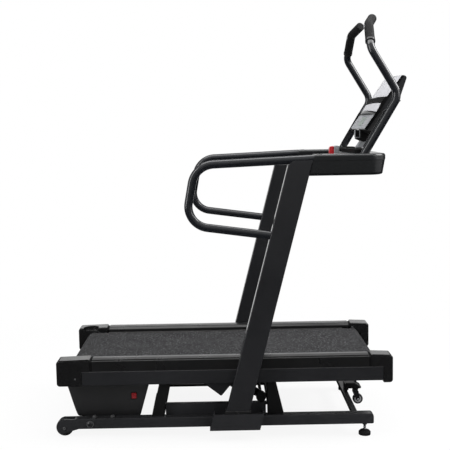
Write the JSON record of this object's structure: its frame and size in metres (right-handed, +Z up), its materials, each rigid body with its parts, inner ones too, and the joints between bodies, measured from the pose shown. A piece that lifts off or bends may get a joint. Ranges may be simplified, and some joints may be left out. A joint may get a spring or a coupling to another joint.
{
  "type": "incline treadmill",
  "caption": "Motorised treadmill with a flat belt deck that tips up on a rear pivot, leaning uprights, side handrails, a console tray and tall bent push bars with rubber grips.",
  "frame": {"origin": "on the floor under the middle of the machine's length and width", "axes": "+X towards the console end, +Y to the runner's left, +Z up"},
  "size_m": [1.5927, 0.872, 1.908],
  "materials": {
    "frame_paint": "satin black powder coat",
    "tube_paint": "semi-gloss black paint",
    "matte_plastic": "fine-grained black moulding",
    "rail_plastic": "smooth black extrusion",
    "grip_rubber": "matt black rubber",
    "wheel_rubber": "matt black rubber",
    "belt_fabric": "speckled dark grey coated belt",
    "board_wood": "waxed fibreboard",
    "steel": "turned",
    "motor_shell": "dark grey enamel",
    "silver_plastic": "silver painted",
    "white_panel": "pale panel film",
    "key_red": "red moulding",
    "caster_grey": "grey moulding"
  },
  "bodies": {
    "base": {"base_rail_right": "frame_paint", "base_rail_left": "frame_paint", "pivot_cross_tube": "frame_paint", "middle_cross_tube": "frame_paint", "front_cross_tube": "frame_paint", "inner_rail_right": "frame_paint", "inner_rail_left": "frame_paint", "pivot_post_right": "frame_paint", "pivot_post_left": "frame_paint", "middle_post_right": "frame_paint", "middle_post_left": "frame_paint", "upright_right": "frame_paint", "upright_left": "frame_paint", "handrail_right": "tube_paint", "handrail_left": "tube_paint", "console_tray": "matte_plastic", "push_bar_right": "tube_paint", "push_bar_left": "tube_paint", "push_grip_right": "grip_rubber", "push_grip_left": "grip_rubber", "console_housing": "matte_plastic", "console_panel": "silver_plastic", "display_window": "white_panel", "tablet_panel": "white_panel", "key_socket": "silver_plastic"},
    "transport_wheel_right": {"transport_wheel_right": "wheel_rubber"},
    "transport_wheel_left": {"transport_wheel_left": "wheel_rubber"},
    "levelling_foot_right": {"levelling_foot_right": "matte_plastic"},
    "levelling_foot_left": {"levelling_foot_left": "matte_plastic"},
    "caster_fork": {"caster_fork": "caster_grey"},
    "caster_wheel": {"caster_wheel": "wheel_rubber"},
    "safety_key": {"safety_key": "key_red"},
    "grip_key_right": {"grip_key_right": "caster_grey"},
    "grip_key_left": {"grip_key_left": "caster_grey"},
    "deck": {"deck_side_right": "frame_paint", "deck_side_left": "frame_paint", "foot_rail_right": "rail_plastic", "foot_rail_left": "rail_plastic", "rear_cap_right": "matte_plastic", "rear_cap_left": "matte_plastic", "front_cap_right": "matte_plastic", "front_cap_left": "matte_plastic", "running_deck": "board_wood", "running_belt": "belt_fabric", "deck_subframe": "frame_paint", "motor_cover": "matte_plastic", "drive_motor": "motor_shell", "drive_belt": "wheel_rubber", "drive_axle": "steel", "idler_axle": "steel"},
    "motor_rotor": {"motor_rotor": "steel"},
    "drive_roller": {"drive_roller": "steel"},
    "idler_roller": {"idler_roller": "steel"},
    "power_switch": {"power_switch": "key_red"},
    "lift_frame": {"lift_frame": "frame_paint"},
    "lift_roller": {"lift_roller": "caster_grey"},
    "incline_actuator": {"incline_actuator": "motor_shell"},
    "actuator_rod": {"actuator_rod": "steel"}
  },
  "joints": [
    {"name": "deck_incline", "type": "hinge", "parent": "base", "child": "deck", "pos_m": [-0.29915, 0, 0.25662], "axis": [0, -1, 0], "range_deg": [0, 8.5]},
    {"name": "lift_frame_swing", "type": "hinge", "parent": "deck", "child": "lift_frame", "pos_m": [-0.02237, 0, 0.21444], "axis": [0, -1, 0], "range_deg": [-24.4, 0]},
    {"name": "lift_roller_spin", "type": "hinge", "parent": "lift_frame", "child": "lift_roller", "pos_m": [0.14427, 0, 0.12184], "axis": [0, 1, 0], "continuous": true},
    {"name": "actuator_swing", "type": "hinge", "parent": "deck", "child": "incline_actuator", "pos_m": [-0.13247, 0, 0.21952], "axis": [0, -1, 0], "range_deg": [-13.7, 0]},
    {"name": "actuator_stroke", "type": "slide", "parent": "incline_actuator", "child": "actuator_rod", "axis": [0.8478, 0, -0.5303], "range_m": [-0.0277, 0]},
    {"name": "drive_roller_spin", "type": "hinge", "parent": "deck", "child": "drive_roller", "pos_m": [-0.70496, 0, 0.29954], "axis": [0, 1, 0], "continuous": true},
    {"name": "idler_roller_spin", "type": "hinge", "parent": "deck", "child": "idler_roller", "pos_m": [0.63684, 0, 0.32296], "axis": [0, 1, 0], "continuous": true},
    {"name": "motor_spin", "type": "hinge", "parent": "deck", "child": "motor_rotor", "pos_m": [-0.59141, 0, 0.1545], "axis": [0, 1, 0], "continuous": true},
    {"name": "power_switch_rock", "type": "hinge", "parent": "deck", "child": "power_switch", "pos_m": [-0.44666, -0.301, 0.17003], "axis": [0.9998, 0, 0.0174], "range_deg": [0, 12]},
    {"name": "transport_wheel_right_spin", "type": "hinge", "parent": "base", "child": "transport_wheel_right", "pos_m": [-0.75742, -0.35, 0.039], "axis": [0, 1, 0], "continuous": true},
    {"name": "transport_wheel_left_spin", "type": "hinge", "parent": "base", "child": "transport_wheel_left", "pos_m": [-0.75742, 0.35, 0.039], "axis": [0, 1, 0], "continuous": true},
    {"name": "levelling_foot_right_turn", "type": "hinge", "parent": "base", "child": "levelling_foot_right", "pos_m": [0.61047, -0.35, 0], "axis": [0, 0, 1], "continuous": true},
    {"name": "levelling_foot_left_turn", "type": "hinge", "parent": "base", "child": "levelling_foot_left", "pos_m": [0.61047, 0.35, 0], "axis": [0, 0, 1], "continuous": true},
    {"name": "caster_swivel", "type": "hinge", "parent": "base", "child": "caster_fork", "pos_m": [0.61947, 0, 0.11463], "axis": [-0.0174, 0, 0.9998], "continuous": true},
    {"name": "caster_wheel_spin", "type": "hinge", "parent": "caster_fork", "child": "caster_wheel", "pos_m": [0.63143, 0, 0.05983], "axis": [0, 1, 0], "continuous": true},
    {"name": "safety_key_pull", "type": "slide", "parent": "base", "child": "safety_key", "axis": [-0.9998, 0, -0.0174], "range_m": [0, 0.03]},
    {"name": "grip_key_right_press", "type": "slide", "parent": "base", "child": "grip_key_right", "axis": [0.9998, 0, 0.0174], "range_m": [0, 0.0015], "stiffness_N_per_m": 800},
    {"name": "grip_key_left_press", "type": "slide", "parent": "base", "child": "grip_key_left", "axis": [0.9998, 0, 0.0174], "range_m": [0, 0.0015], "stiffness_N_per_m": 800}
  ],
  "couplings": [
    {"joint": "lift_frame_swing", "follows": "deck_incline", "ratio": -2.8585},
    {"joint": "actuator_swing", "follows": "deck_incline", "ratio": -1.6005},
    {"joint": "actuator_stroke", "follows": "deck_incline", "m_per_rad": -0.18543},
    {"joint": "idler_roller_spin", "follows": "drive_roller_spin", "ratio": 1},
    {"joint": "motor_spin", "follows": "drive_roller_spin", "ratio": 1.4444}
  ]
}
